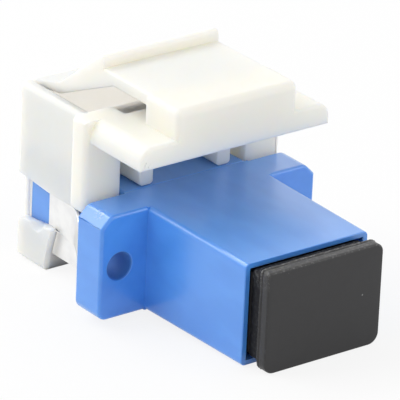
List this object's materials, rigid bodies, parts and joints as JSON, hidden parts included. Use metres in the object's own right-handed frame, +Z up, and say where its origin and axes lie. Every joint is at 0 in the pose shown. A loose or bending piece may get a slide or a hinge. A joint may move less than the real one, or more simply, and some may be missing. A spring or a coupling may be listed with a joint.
{
  "type": "fibre adapter in a snap-in panel frame",
  "caption": "Blue push-pull fibre adapter with a screw flange, held in a white snap-in frame with a springy top latch, a steel side clip and a black plug-in dust cap.",
  "frame": {"origin": "on the optical axis at the middle of the alignment sleeve, which is the middle of the flange's thickness", "axes": "+Y along the optical axis from the capped port to the open port, +Z up to the frame's latch, +X to the right seen from the capped port"},
  "size_m": [0.022, 0.0329, 0.0213],
  "materials": {
    "blue_housing": "semi-gloss moulded polycarbonate, soft edges",
    "insert_plastic": "natural moulded plastic, satin",
    "zirconia": "ground and polished",
    "clip_steel": "bright rolled stainless strip",
    "cap_black": "soft moulded polyethylene, dull, with a little flash on its edges",
    "frame_white": "ivory white moulded plastic, satin"
  },
  "bodies": {
    "adapter": {"front_housing": "blue_housing", "rear_housing": "blue_housing", "front_latch_insert": "insert_plastic", "rear_latch_insert": "insert_plastic", "alignment_sleeve": "zirconia", "panel_clip": "clip_steel", "snap_in_frame": "frame_white"},
    "cap": {"dust_cap": "cap_black"}
  },
  "joints": [
    {"name": "cap_pull", "type": "slide", "parent": "adapter", "child": "cap", "axis": [0, -1, 0], "range_m": [0, 0.006]}
  ]
}
